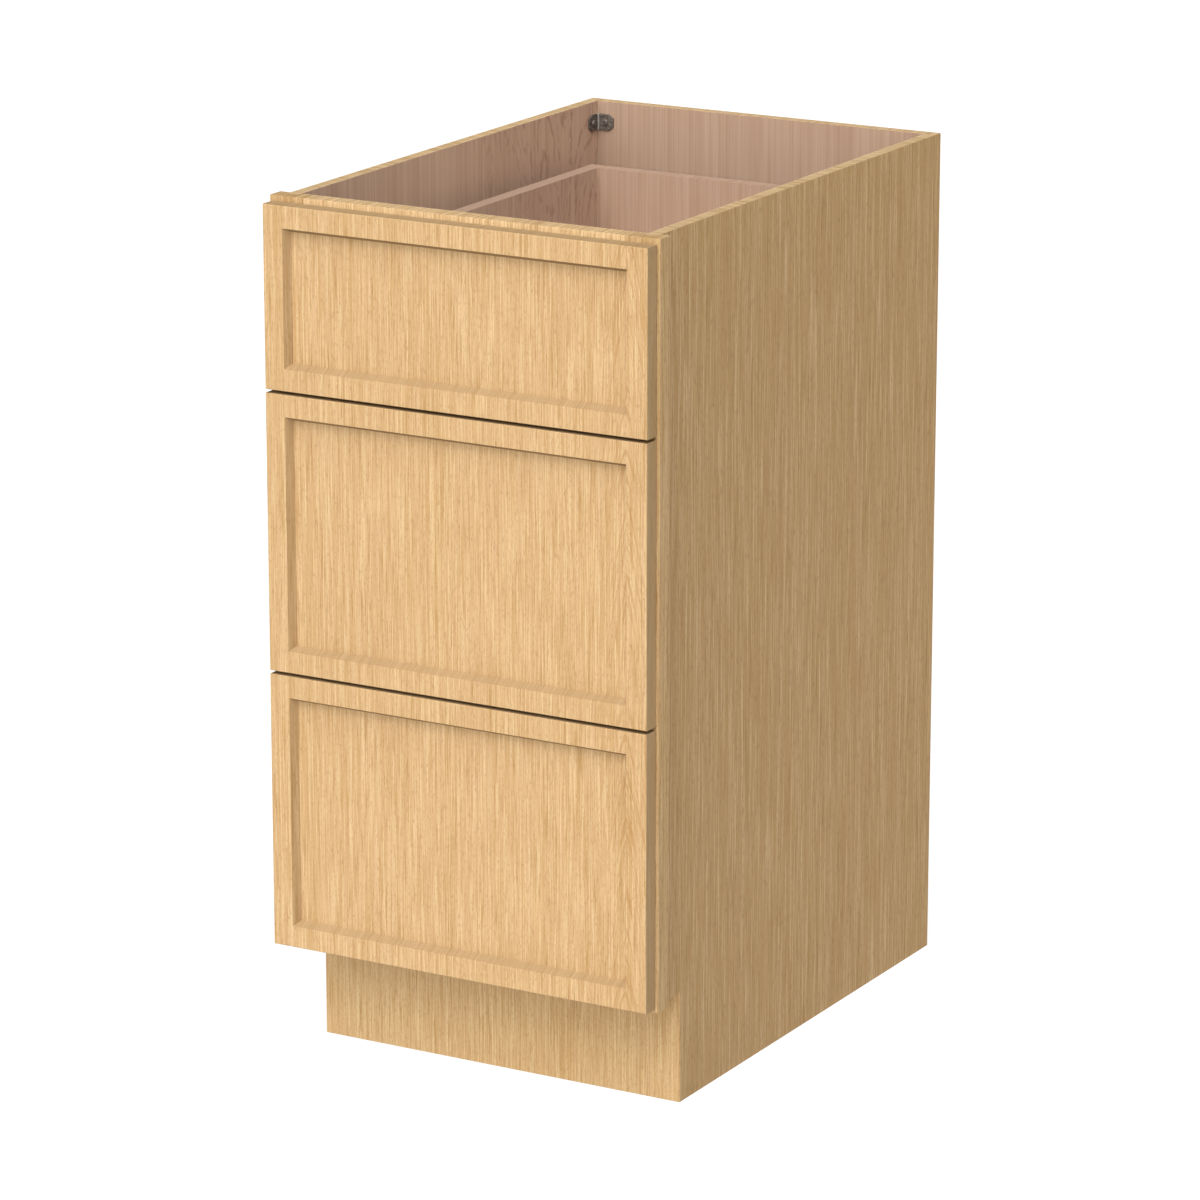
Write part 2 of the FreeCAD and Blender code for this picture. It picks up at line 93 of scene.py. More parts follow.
def dress(material, names):
    """Gives CAD nodes a material in place of their plain one."""
    for name in names:
        mesh = nodes[name].data
        mesh.materials.clear()
        mesh.materials.append(material)


# ---------------------------------------------------------------- grain

# A face looks sideways, or lies level, from this share of its normal on.
SIDEWAYS, LEVEL = 0.7, 0.85
# What a side face keeps of z. Less of it makes the lines longer.
SIDE_HEIGHT = 0.6
# What level faces keep of x, y and z, on boards that lie across and on boards that run front to back.
ACROSS = (1, 0, 1)
FRONT_TO_BACK = (0, 0.5, 1)


def board_place(tree, level_faces):
    """Object coordinates without the depth behind each face, so that lines run straight over a bevel.
    level_faces is what level faces keep of x, y and z."""
    normal = add(tree, "TexCoord", output="Normal")
    sizes = add(tree, "VectorMath", {0: normal}, operation="ABSOLUTE")
    beside, _, over = add(tree, "SeparateXYZ", {0: sizes}).node.outputs
    sideways = add(tree, "Math", {0: beside, 1: SIDEWAYS}, operation="GREATER_THAN")
    level = add(tree, "Math", {0: over, 1: LEVEL}, operation="GREATER_THAN")
    kept = add(tree, "Mix", {SHARE: sideways, DIRECTION_A: (1, 0, 1), DIRECTION_B: (0, 1, SIDE_HEIGHT)},
               DIRECTION_OUT, data_type="VECTOR")
    kept = add(tree, "Mix", {SHARE: level, DIRECTION_A: kept, DIRECTION_B: level_faces},
               DIRECTION_OUT, data_type="VECTOR")
    return add(tree, "VectorMath", {0: normal.node.outputs["Object"], 1: kept}, operation="MULTIPLY")


def wandering(tree, place, reach, across, along):
    """Coordinates that wander sideways by reach, in waves that are across wide and along long, so that
    lines aren't dead straight. Their noise is shifted, to be unlike that of the lines."""
    sized = add(tree, "Mapping", {"Vector": place, "Location": (5, 5, 5),
                                  "Scale": (1 / across, 1 / across, 1 / along)})
    drift = add(tree, "TexNoise", {"Vector": sized, "Scale": 1.0, "Detail": 1.0}, 1)
    centred = add(tree, "VectorMath", {0: drift, 1: (0.5, 0.5, 0.5)}, operation="SUBTRACT")
    scaled = add(tree, "VectorMath", {0: centred, 1: (reach, reach, 0.0)}, operation="MULTIPLY")
    return add(tree, "VectorMath", {0: place, 1: scaled}, operation="ADD")


def streaked(tree, tone, place, colour, width, length, shown, shift, detail=2.0, within=None):
    """Lays upright streaks of a colour over a tone.
    width is theirs on a front and on a side. shown is the two noise levels that they come in between,
    and how much of them shows at most. shift keeps them from falling in line with other streaks, and
    within limits them to a part of the board."""
    lowest, full, most = shown
    sized = add(tree, "Mapping", {"Vector": place, "Location": (shift, shift, shift),
                                  "Scale": (1 / width[0], 1 / width[1], 1 / length)})
    grey = add(tree, "TexNoise", {"Vector": sized, "Scale": 1.0, "Detail": detail, "Roughness": 0.6})
    share = add(tree, "MapRange", {"Value": grey, "From Min": lowest, "From Max": full, "To Max": most})
    if within is not None:
        share = add(tree, "Math", {0: share, 1: within}, operation="MULTIPLY")
    return add(tree, "Mix", {SHARE: share, COLOUR_A: tone, COLOUR_B: linear(colour)}, COLOUR_OUT,
               data_type="RGBA")


def oak_grain(tree, place, ground):
    """Rift-cut oak. Its growth lines lie about 1.5 mm apart on the veneer; on the sides, which are seen
    aslant, they are drawn twice as wide, because they would be too fine to show."""
    place = wandering(tree, place, reach=2 * MM, across=30 * MM, along=160 * MM)
    tone = streaked(tree, linear(ground), place, "#AA8452", width=(1.3 * MM, 2.4 * MM), length=110 * MM,
                    shown=(0.36, 0.66, 0.66), shift=0.37, detail=1.0)
    tone = streaked(tree, tone, place, "#D3B88D", width=(1.2 * MM, 2.2 * MM), length=70 * MM,
                    shown=(0.48, 0.72, 0.58), shift=4.41, detail=1.0)
    # Veneer leaves differ a little: some bands are pinker, some more golden.
    tone = streaked(tree, tone, place, "#BD9A7A", width=(22 * MM, 30 * MM), length=400 * MM,
                    shown=(0.46, 0.66, 0.08), shift=7.63)
    tone = streaked(tree, tone, place, "#B08E5C", width=(5 * MM, 8 * MM), length=300 * MM,
                    shown=(0.46, 0.68, 0.15), shift=9.29, detail=1.0)
    # Late wood: fewer and sharper lines, which break off sooner.
    tone = streaked(tree, tone, place, "#9B7644", width=(1.2 * MM, 2.2 * MM), length=45 * MM,
                    shown=(0.58, 0.72, 0.7), shift=13.57, detail=1.0)
    # Pores are 0.2 mm wide; they are drawn nearly as wide as the lines, so that they show.
    return streaked(tree, tone, place, "#8A6740", width=(0.9 * MM, 1.7 * MM), length=5 * MM,
                    shown=(0.54, 0.72, 0.42), shift=17.71, detail=1.0)


# The figure, and the painted shade of the ground, start at the cabinet's middle and are full this far
# behind it. Only side faces keep a place there, so boards that lie across stay plain.
FIGURE_FULL = 160 * MM
# The wood swells in and out over this width and height, and the knife cuts this many rings through it.
SWELL_WIDTH, SWELL_HEIGHT = 60 * MM, 120 * MM
SWELL_RINGS = 90.0


def figured(tree, tone, place, colour):
    """Lays the broken, wavy outlines of rotary-cut veneer over a tone. They come in towards the back,
    where the ground is also painted darker: painted shade towards the back corner."""
    loose = wandering(tree, place, reach=7 * MM, across=10 * MM, along=7 * MM)
    sized = add(tree, "Mapping", {"Vector": loose, "Location": (1.7, 0.4, 2.3),
                                  "Scale": (1 / SWELL_WIDTH, 1 / SWELL_WIDTH, 1 / SWELL_HEIGHT)})
    swell = add(tree, "TexNoise", {"Vector": sized, "Scale": 1.0, "Detail": 1.0, "Roughness": 0.4})
    rings = add(tree, "Math", {0: swell, 1: SWELL_RINGS}, operation="MULTIPLY")
    wave = add(tree, "Math", {0: rings}, operation="SINE")
    outlines = add(tree, "MapRange", {"Value": wave, "From Min": 0.35, "From Max": 1.0})
    behind = add(tree, "SeparateXYZ", {0: place}, 1)
    backwards = add(tree, "MapRange", {"Value": behind, "From Min": 0.0, "From Max": FIGURE_FULL})
    # Painted shade: the ground darkens towards the back corner.
    painted_back_shade = add(tree, "Math", {0: backwards, 1: 0.2}, operation="MULTIPLY")
    tone = add(tree, "Mix", {SHARE: painted_back_shade, COLOUR_A: tone, COLOUR_B: linear(colour)}, COLOUR_OUT,
               data_type="RGBA")
    share = add(tree, "Math", {0: outlines, 1: backwards}, operation="MULTIPLY")
    return streaked(tree, tone, place, colour, width=(6 * MM, 8 * MM), length=8 * MM,
                    shown=(0.38, 0.56, 0.5), shift=23.3, detail=1.0, within=share)


# Shades of the maple look: ground, dark and light lines, soft bands, and the wavy figure. The side and
# box-side shades are painted much paler than the back and box shades: painted light on the upright inner
# faces, which get less light.
SIDE_MAPLE_PAINTED_LIGHT = ("#DFC1A8", "#CDAE93", "#F3DAC3", "#C09B7F", "#A67769")
BACK_MAPLE = ("#AE927D", "#A1846D", "#C0A691", "#97755E", "#815E4B")
BOX_SIDE_MAPLE_PAINTED_LIGHT = ("#CBB39F", "#BCA18B", "#DECBB8", "#AF9077", "#976E61")
BOX_MAPLE = ("#AD917D", "#9F836D", "#BEA591", "#95755D", "#805D4B")


def maple_grain(tree, place, shades):
    """Maple-look board: fine upright lines 3 mm apart under a wavy reddish figure."""
    ground, dark, light, band, figure = shades
    tone = streaked(tree, linear(ground), place, dark, width=(1.5 * MM, 3.0 * MM), length=300 * MM,
                    shown=(0.40, 0.66, 0.65), shift=2.37, detail=1.0)
    tone = streaked(tree, tone, place, light, width=(1.4 * MM, 2.8 * MM), length=200 * MM,
                    shown=(0.50, 0.72, 0.4), shift=6.41, detail=1.0)
    tone = streaked(tree, tone, place, band, width=(20 * MM, 26 * MM), length=240 * MM,
                    shown=(0.48, 0.72, 0.3), shift=8.63)
    return figured(tree, tone, place, figure)


# ---------------------------------------------------------------- boards

# A top edge is a face that looks up at least this far.
TOP_EDGE = 0.9
# Thickness of the skin on a board's inner face, and how softly it starts on the board's top edge.
SKIN, SOFT_START = 1.5 * MM, 0.3 * MM


def lacquered(tree, shader, tone, depth):
    """A matt clear coat over a grained board: the dark pores lie lower and shine a little less."""
    bump = add(tree, "Bump", {"Height": tone, "Distance": depth, "Strength": 0.5})
    sheen = add(tree, "MapRange", {"Value": tone, "From Min": 0.1, "From Max": 0.5,
                                   "To Min": 0.68, "To Max": 0.58})
    tree.links.new(tone, shader.inputs["Base Color"])
    tree.links.new(bump, shader.inputs["Normal"])
    tree.links.new(sheen, shader.inputs["Roughness"])
    shader.inputs["Specular IOR Level"].default_value = 0.15
    shader.inputs["IOR"].default_value = 1.5


def upwards(tree):
    """How far a face looks up, from minus one to one."""
    normal = add(tree, "TexCoord", output="Normal")
    return add(tree, "SeparateXYZ", {0: normal}, 2)


def pale_top(tree, tone, place, inside, skin, share):
    """Shows the top edge of a board a little paler by share and hatched across by the cut lines of its
    veneer, with its inner skin, which starts at skin along inside, as a light line."""
    spot = add(tree, "TexCoord", output="Object")
    across = add(tree, "VectorMath", {0: spot, 1: inside}, 1, operation="DOT_PRODUCT")
    line = add(tree, "MapRange", {"Value": across, "From Min": skin - SOFT_START, "From Max": skin,
                                  "To Min": share, "To Max": 0.7})
    top = add(tree, "Math", {0: upwards(tree), 1: TOP_EDGE}, operation="GREATER_THAN")
    shown = add(tree, "Math", {0: line, 1: top}, operation="MULTIPLY")
    tone = add(tree, "Mix", {SHARE: shown, COLOUR_A: tone, COLOUR_B: linear("#E6CDA8")}, COLOUR_OUT,
               data_type="RGBA")
    return streaked(tree, tone, place, "#8F6A3A", width=(2 * MM, 1.8 * MM), length=300 * MM,
                    shown=(0.48, 0.62, 0.5), shift=27.19, detail=1.0, within=top)


def oak(name, ground, skin):
    """Lacquered oak veneer, with the same upright lines on every face. skin is where the light line at
    the back of its top edge starts."""
    material, tree, shader = new_material(name)
    place = board_place(tree, ACROSS)
    tone = pale_top(tree, oak_grain(tree, place, ground), place, (0, 1, 0), skin, 0.05)
    lacquered(tree, shader, tone, 0.15 * MM)
    return material


def leaning_to(tree, place, centre):
    """Coordinates whose lines lean in from both sides and meet in points over x = centre, and how near
    a place is to that heart. Growth rings that the knife leaves at a slant show so."""
    tip_radius = 4 * MM
    across, _, height = add(tree, "SeparateXYZ", {0: place}).node.outputs
    aside = add(tree, "Math", {0: across, 1: centre}, operation="SUBTRACT")
    round_tip = add(tree, "CombineXYZ", {0: aside, 1: tip_radius})
    width = add(tree, "VectorMath", {0: round_tip}, 1, operation="LENGTH")
    lean = add(tree, "Math", {0: height, 1: 0.2}, operation="MULTIPLY")
    ring = add(tree, "Math", {0: width, 1: lean}, operation="ADD")
    leaning = add(tree, "CombineXYZ", {0: ring, 2: height})
    near = add(tree, "MapRange", {"Value": width, "From Min": 8 * MM, "From Max": 42 * MM,
                                  "To Min": 1.0, "To Max": 0.0})
    return leaning, near


def front_oak(name):
    """Oak of a drawer front, with pointed arches of grain near its right edge. Its level edges, bevels and
    sides are painted darker in quiet bands: painted shade, chosen by the way each face looks."""
    material, tree, shader = new_material(name)
    place = board_place(tree, ACROSS)
    tone = oak_grain(tree, place, "#BC9C73")
    leaning, near = leaning_to(tree, place, centre=190 * MM)
    tone = streaked(tree, tone, leaning, "#9A6F3C", width=(1.6 * MM, 1.6 * MM), length=70 * MM,
                    shown=(0.52, 0.66, 0.45), shift=21.43, detail=1.0, within=near)
    # Painted shade: faces that look up, down or aside are told by the way they look, and darkened as if in
    # shade.
    up = upwards(tree)
    bevel = add(tree, "MapRange", {"Value": up, "From Min": 0.84, "From Max": 0.86, "To Max": 0.55})
    under = add(tree, "MapRange", {"Value": up, "From Min": -0.84, "From Max": -0.86, "To Max": 0.85})
    normal = add(tree, "TexCoord", output="Normal")
    turn = add(tree, "VectorMath", {0: normal, 1: (1, 0, 0)}, 1, operation="DOT_PRODUCT")
    turned = add(tree, "Math", {0: turn}, operation="ABSOLUTE")
    side = add(tree, "MapRange", {"Value": turned, "From Min": 0.82, "From Max": 0.97, "To Max": 0.6})
    for share, colour in ((bevel, "#967E5E"), (under, "#785F3D"), (side, "#997E5A")):
        tone = add(tree, "Mix", {SHARE: share, COLOUR_A: tone, COLOUR_B: linear(colour)}, COLOUR_OUT,
                   data_type="RGBA")
    lacquered(tree, shader, tone, 0.15 * MM)
    return material


def painted_top_shade(tree, tone, colour):
    """Paints the sawn top edge of a board in a darker colour of its own: painted shade on the faces that
    look up.
    """
    top = add(tree, "MapRange", {"Value": upwards(tree), "From Min": 0.85, "From Max": 0.9, "To Max": 0.8})
    return add(tree, "Mix", {SHARE: top, COLOUR_A: tone, COLOUR_B: linear(colour)}, COLOUR_OUT,
               data_type="RGBA")


def cut_ends(tree, tone, way):
    """Shows the ends of a board, which look along way, browner and speckled."""
    speck = 1.2 * MM
    spot = add(tree, "TexCoord", output="Object")
    speck_place = add(tree, "Mapping", {"Vector": spot, "Scale": (1 / speck,) * 3})
    specks = add(tree, "TexNoise", {"Vector": speck_place, "Scale": 1.0, "Detail": 2.0})
    ends = add(tree, "Mix", {SHARE: specks, COLOUR_A: linear("#7C5F49"), COLOUR_B: linear("#A98A6F")},
               COLOUR_OUT, data_type="RGBA")
    facing = add(tree, "VectorMath", {0: spot.node.outputs["Normal"], 1: way}, 1, operation="DOT_PRODUCT")
    size = add(tree, "Math", {0: facing}, operation="ABSOLUTE")
    cut = add(tree, "Math", {0: size, 1: 0.9}, operation="GREATER_THAN")
    return add(tree, "Mix", {SHARE: cut, COLOUR_A: tone, COLOUR_B: ends}, COLOUR_OUT, data_type="RGBA")


def maple(name, shades, end_grain=None, top_shade_colour=None):
    """Maple-look board. end_grain is the direction that its cut ends look, where they differ from the
    faces, and top_shade_colour is a darker colour painted on its sawn top edge as painted shade."""
    material, tree, shader = new_material(name)
    tone = maple_grain(tree, board_place(tree, ACROSS), shades)
    if top_shade_colour:
        tone = painted_top_shade(tree, tone, top_shade_colour)
    if end_grain:
        tone = cut_ends(tree, tone, end_grain)
    lacquered(tree, shader, tone, 0.05 * MM)
    return material


def two_faced(name, level_faces, inside, skin, shades, both_sides=False):
    """A board with oak outside and on its edges, and the maple look on the face that looks inside."""
    material, tree, shader = new_material(name)
    place = board_place(tree, level_faces)
    normal = add(tree, "TexCoord", output="Normal")
    facing = add(tree, "VectorMath", {0: normal, 1: inside}, 1, operation="DOT_PRODUCT")
    if both_sides:
        facing = add(tree, "Math", {0: facing}, operation="ABSOLUTE")
    inner = add(tree, "Math", {0: facing, 1: 0.7}, operation="GREATER_THAN")
    outer_oak = oak_grain(tree, place, "#B29163")
    inner_maple = maple_grain(tree, place, shades)
    tone = add(tree, "Mix", {SHARE: inner, COLOUR_A: outer_oak, COLOUR_B: inner_maple}, COLOUR_OUT,
               data_type="RGBA")
    tone = pale_top(tree, tone, place, inside, skin, 0.35)
    lacquered(tree, shader, tone, 0.12 * MM)
    return material


frame_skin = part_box("face_frame_top_rail")[1].y - SKIN
side_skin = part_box("left_side_panel")[1].x - SKIN
back_skin = -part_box("back_panel")[0].y - SKIN
# Oak sliced rift and lacquered matt: straight, close, honey-coloured lines with hardly any shine.
dress(oak("rift_oak_veneer_lacquered", "#BD9E72", frame_skin), [
    "toe_kick_facing", "face_frame_left_stile", "face_frame_right_stile", "face_frame_upper_mid_rail",
    "face_frame_lower_mid_rail", "face_frame_bottom_rail"])
# The same oak painted paler: painted light on the strip over the top drawer, which lies in the shade of
# the drawer front.
dress(oak("rift_oak_veneer_painted_paler", "#DFC195", frame_skin), ["face_frame_top_rail"])
# Stained oak fronts: the same lines, with painted shade on their level edges, bevels and sides, which look
# darker.
dress(front_oak("drawer_front_oak_veneer_lacquered"),
      per_drawer("drawer_front_stiles", "drawer_front_rails", "drawer_front_panel"))
# Plywood pressed between two skins: oak outside, and pinkish brown maple look with a wavy figure inside,
# painted paler as painted light on the inner faces.
dress(two_faced("left_carcass_board_veneered", FRONT_TO_BACK, (1, 0, 0), side_skin, SIDE_MAPLE_PAINTED_LIGHT),
      ["left_side_panel"])
dress(two_faced("right_carcass_board_veneered", FRONT_TO_BACK, (-1, 0, 0), side_skin, SIDE_MAPLE_PAINTED_LIGHT),
      ["right_side_panel"])
# The back has the maple look on both faces, since its outside is never seen in use.
dress(two_faced("back_carcass_board_veneered", ACROSS, (0, -1, 0), back_skin, BACK_MAPLE, both_sides=True),
      ["back_panel"])
# Maple-look plywood, sanded and sealed: quiet pinkish brown with faint upright lines, quite matt.
dress(maple("maple_look_board", BOX_MAPLE),
      ["bottom_panel", "toe_kick_board", *per_drawer("drawer_box_bottom")])
# Planed maple, dovetailed and sealed: the same face, with browner speckled end grain in the joints.
dress(maple("drawer_end_maple_planed", BOX_MAPLE, end_grain=(1, 0, 0)),
      per_drawer("drawer_box_front", "drawer_box_back"))
# The drawer sides get painted shade on their top edges, and painted light in their paler side shades.
dress(maple("drawer_side_maple_planed", BOX_SIDE_MAPLE_PAINTED_LIGHT, end_grain=(0, 1, 0), top_shade_colour="#9A7F6D"),
      per_drawer("drawer_box_left_side", "drawer_box_right_side"))


# ---------------------------------------------------------------- metal and plastic

def mottled(name, light, dark, grain, roughness, bump_depth, **shader_values):
    """A finish whose colour, gloss and surface all follow one fine mottle of the given size."""
    material, tree, shader = new_material(name, **shader_values)
    spot = add(tree, "TexCoord", output="Object")
    sized = add(tree, "Mapping", {"Vector": spot, "Scale": (1 / grain,) * 3})
    mottle = add(tree, "TexNoise", {"Vector": sized, "Scale": 1.0, "Detail": 3.0, "Roughness": 0.6})
    even = add(tree, "MapRange", {"Value": mottle, "From Min": 0.3, "From Max": 0.7})
    tone = add(tree, "Mix", {SHARE: even, COLOUR_A: linear(dark), COLOUR_B: linear(light)}, COLOUR_OUT,
               data_type="RGBA")
    gloss = add(tree, "MapRange", {"Value": mottle, "From Min": 0.3, "From Max": 0.7,
                                   "To Min": roughness[0], "To Max": roughness[1]})
    bump = add(tree, "Bump", {"Height": mottle, "Distance": bump_depth, "Strength": 0.4})
    tree.links.new(tone, shader.inputs["Base Color"])
    tree.links.new(gloss, shader.inputs["Roughness"])
    tree.links.new(bump, shader.inputs["Normal"])
    return material


# Cold-rolled steel with a zinc coat: pale blue-grey, softly mirroring, with a faint cloudy spangle.
galvanised = mottled("galvanised_steel_rolled", "#C9CDD0", "#A9AEB2", 5 * MM, (0.28, 0.42), 0.02 * MM,
                     Metallic=1.0)
# Steel screws plated bright with zinc: small sharp highlights on a slightly warm silver.
plated = mottled("zinc_plated_steel_turned", "#DAD8D2", "#B4B2AA", 1.5 * MM, (0.2, 0.34), 0.01 * MM,
                 Metallic=1.0)
# Pressed steel with a sprayed bronze paint: dark grey-brown and speckled; the gleam on its bends is a
# painted highlight, added below.
bronze = mottled("bronze_sprayed_steel_pressed", "#8C8278", "#332D29", 1.3 * MM, (0.38, 0.6), 0.08 * MM,
                 Metallic=0.35)
# Nylon from a spark-eroded mould: even mid grey with a fine matt grain.
nylon = mottled("grey_nylon_moulded", "#86898C", "#747779", 0.8 * MM, (0.45, 0.6), 0.03 * MM)
# Cast polyurethane: milky and clear, soft gloss, lets the wood behind it through.
clear = mottled("clear_polyurethane_cast", "#EDEBE4", "#E2DFD6", 2 * MM, (0.18, 0.3), 0.01 * MM,
                Transmission_Weight=0.6, IOR=1.5)


def painted_bend_highlight(material, node, reach):
    """A painted highlight along the upright bends of a piece, within reach of the far corners of its box:
    pale grey laid on the paint where the bends would gleam.
    """
    tree = material.node_tree
    shader = tree.nodes["Principled BSDF"]
    low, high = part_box(node)
    spot = add(tree, "TexCoord", output="Object")
    from_middle = add(tree, "VectorMath", {0: spot, 1: (Vector(low) + Vector(high)) / 2},
                      operation="SUBTRACT")
    outwards = add(tree, "VectorMath", {0: from_middle}, operation="ABSOLUTE")
    inside_edge = (Vector(high) - Vector(low)) / 2 - Vector((reach, reach, 0.0))
    beyond = add(tree, "VectorMath", {0: outwards, 1: inside_edge}, operation="SUBTRACT")
    beyond_x, beyond_y, _ = add(tree, "SeparateXYZ", {0: beyond}).node.outputs
    nearest = add(tree, "Math", {0: beyond_x, 1: beyond_y}, operation="MINIMUM")
    bend_highlight = add(tree, "MapRange", {"Value": nearest, "From Min": 0.0, "From Max": 0.3 * MM, "To Max": 0.8})
    painted = shader.inputs["Base Color"].links[0].from_socket
    tone = add(tree, "Mix", {SHARE: bend_highlight, COLOUR_A: painted, COLOUR_B: linear("#B8B3AC")}, COLOUR_OUT,
               data_type="RGBA")
    tree.links.new(tone, shader.inputs["Base Color"])


# Painted highlight: pale grey on the bracket's upright bends stands in for their gleam.
painted_bend_highlight(bronze, "corner_brackets", 3.5 * MM)
dress(bronze, ["corner_brackets"])
dress(galvanised, per_drawer("runner_cabinet_members", "runner_middle_members", "runner_drawer_members"))
dress(nylon, ["runner_rear_sockets", *per_drawer("drawer_locking_clips")])


# ---------------------------------------------------------------- eased edges of the CAD pieces

def ease(names, width):
    """Takes the sharpness off the edges of CAD pieces, as sanding or pressing does."""
    for name in names:
        piece = nodes[name]
        piece.modifiers.new("joined_facets", "WELD").merge_threshold = 0.005 * MM
        flat = piece.modifiers.new("whole_faces", "DECIMATE")
        flat.decimate_type = "DISSOLVE"
        flat.angle_limit = radians(0.5)
        edge = piece.modifiers.new("eased_edges", "BEVEL")
        edge.width = width
        edge.segments = 2
        edge.limit_method = "ANGLE"
        edge.angle_limit = radians(40)


ease(["left_side_panel", "right_side_panel", "back_panel", "bottom_panel", "toe_kick_board",
      "toe_kick_facing", "face_frame_left_stile", "face_frame_right_stile", "face_frame_top_rail",
      "face_frame_upper_mid_rail", "face_frame_lower_mid_rail", "face_frame_bottom_rail",
      *per_drawer("drawer_box_left_side", "drawer_box_right_side", "drawer_box_front",
                  "drawer_box_back", "drawer_box_bottom")], 0.3 * MM)
ease(["corner_brackets", "runner_rear_sockets", *per_drawer("drawer_locking_clips")], 0.5 * MM)


# ---------------------------------------------------------------- where the screws and pads sit

def islands(name):
    """The separate solids of a CAD node, each as a list of its corners."""
    mesh = nodes[name].data
    spots = [tuple(round(value, 6) for value in vertex.co) for vertex in mesh.vertices]
    joined_to = {spot: spot for spot in spots}

    def root(spot):
        while joined_to[spot] != spot:
            spot = joined_to[spot]
        return spot

    for face in mesh.polygons:
        first = root(spots[face.vertices[0]])
        for index in face.vertices[1:]:
            joined_to[root(spots[index])] = first
    found = {}
    for spot in joined_to:
        found.setdefault(root(spot), []).append(Vector(spot))
    return list(found.values())


def middle(corners):
    """Middle of the box round some corners, and the box's longest way as a number from 0 to 2."""
    low = Vector([min(corner[i] for corner in corners) for i in range(3)])
    high = Vector([max(corner[i] for corner in corners) for i in range(3)])
    return (low + high) / 2, max(range(3), key=lambda i: high[i] - low[i])


def screw_seats(name):
    """For each screw of a CAD node: the middle of the ring that its head sits on, and its way in."""
    seats = []
    for corners in islands(name):
        centre, way = middle(corners)
        crossways = Vector([0.0 if i == way else 1.0 for i in range(3)])
        rim = max(corners, key=lambda corner: ((corner - centre) * crossways).length)
        seat = centre.copy()
        seat[way] = rim[way]
        into = Vector((0, 0, 0))
        into[way] = 1.0 if centre[way] > rim[way] else -1.0
        seats.append((seat, into))
    return seats


# ---------------------------------------------------------------- models of the screws and pads

HEAD_RADIUS, HEAD_HEIGHT = 3.6 * MM, 1.8 * MM
RECESS_LENGTH, RECESS_WIDTH, RECESS_FLOOR = 3.4 * MM, 0.8 * MM, 0.6 * MM
# A bare neck under the head, then the thread, then the tip. Neck and tip take up the unthreaded length.
SHANK_RADIUS, NECK_LENGTH, TIP_LENGTH = 1.25 * MM, 2 * MM, 2.5 * MM
UNTHREADED = 5 * MM
THREAD_PITCH, THREAD_FLARE = 2 * MM, 1.4
PAD_RADIUS, PAD_THICKNESS = 4 * MM, 0.8 * MM
# Edges that turn less than this are shown smooth.
SMOOTH_TO = radians(35)


def pick(piece, test):
    """In edit mode, selects the faces that pass a test and no others."""
    bpy.ops.mesh.select_all(action="DESELECT")
    shape = bmesh.from_edit_mesh(piece.data)
    for face in shape.faces:
        face.select_set(test(face))
    bmesh.update_edit_mesh(piece.data)


def upright_disc(sides, radius, height):
    """A short cylinder that stands on z = 0, in edit mode, with its top face selected."""
    bpy.ops.object.select_all(action="DESELECT")
    bpy.ops.mesh.primitive_cylinder_add(vertices=sides, radius=radius, depth=height,
                                        location=(0, 0, height / 2))
    disc = bpy.context.object
    bpy.ops.object.transform_apply()
    bpy.ops.object.mode_set(mode="EDIT")
    bpy.ops.mesh.select_mode(type="FACE")
    pick(disc, lambda face: face.normal.z > 0.9)
    return disc


def drawn_out(step, size):
    """Draws the selected end out by a step along z and makes it wider or narrower."""
    bpy.ops.mesh.extrude_region_move(TRANSFORM_OT_translate={"value": (0, 0, step)})
    bpy.ops.transform.resize(value=(size, size, 1))


def recess_cutter(turn):
    """One blade of the cross recess, tapered downwards, over the top of the head."""
    height = 2 * MM
    bpy.ops.object.select_all(action="DESELECT")
    bpy.ops.mesh.primitive_cube_add(size=1, location=(0, 0, RECESS_FLOOR + height / 2),
                                    rotation=(0, 0, turn), scale=(RECESS_LENGTH, RECESS_WIDTH, height))
    cutter = bpy.context.object
    bpy.ops.object.mode_set(mode="EDIT")
    pick(cutter, lambda face: face.normal.z < -0.9)
    bpy.ops.transform.resize(value=(0.4, 0.6, 1), orient_type="LOCAL")
    bpy.ops.object.mode_set(mode="OBJECT")
    return cutter


def turned_screw(length):
    """A pan-head wood screw: it stands on z = 0 and its thread runs down."""
    screw = upright_disc(20, HEAD_RADIUS, HEAD_HEIGHT)
    bpy.ops.transform.resize(value=(0.75, 0.75, 1))
    bpy.ops.mesh.bevel(offset=0.7 * MM, segments=3)
    pick(screw, lambda face: face.normal.z < -0.9)
    bpy.ops.mesh.inset(thickness=HEAD_RADIUS - SHANK_RADIUS)
    drawn_out(-NECK_LENGTH, 1.0)
    for _ in range(int((length - UNTHREADED) / THREAD_PITCH)):
        drawn_out(-0.4 * THREAD_PITCH, THREAD_FLARE)
        drawn_out(-0.2 * THREAD_PITCH, 1.0)
        drawn_out(-0.4 * THREAD_PITCH, 1 / THREAD_FLARE)
    drawn_out(-TIP_LENGTH, 0.15)
    bpy.ops.object.mode_set(mode="OBJECT")
    for turn in (0.0, radians(90)):
        cutter = recess_cutter(turn)
        cut = screw.modifiers.new("recess", "BOOLEAN")
        cut.object = cutter
        cut.solver = "EXACT"
        bpy.context.view_layer.objects.active = screw
        bpy.ops.object.modifier_apply(modifier=cut.name)
        bpy.data.objects.remove(cutter)
    bpy.ops.object.select_all(action="DESELECT")
    screw.select_set(True)
    bpy.ops.object.shade_smooth_by_angle(angle=SMOOTH_TO)
    return screw


def domed_pad():
    """A round clear pad on z = 0, with a soft rim."""
    pad = upright_disc(32, PAD_RADIUS, PAD_THICKNESS)
    bpy.ops.mesh.bevel(offset=0.5 * MM, segments=4)
    bpy.ops.object.mode_set(mode="OBJECT")
    bpy.ops.object.shade_smooth_by_angle(angle=SMOOTH_TO)
    return pad


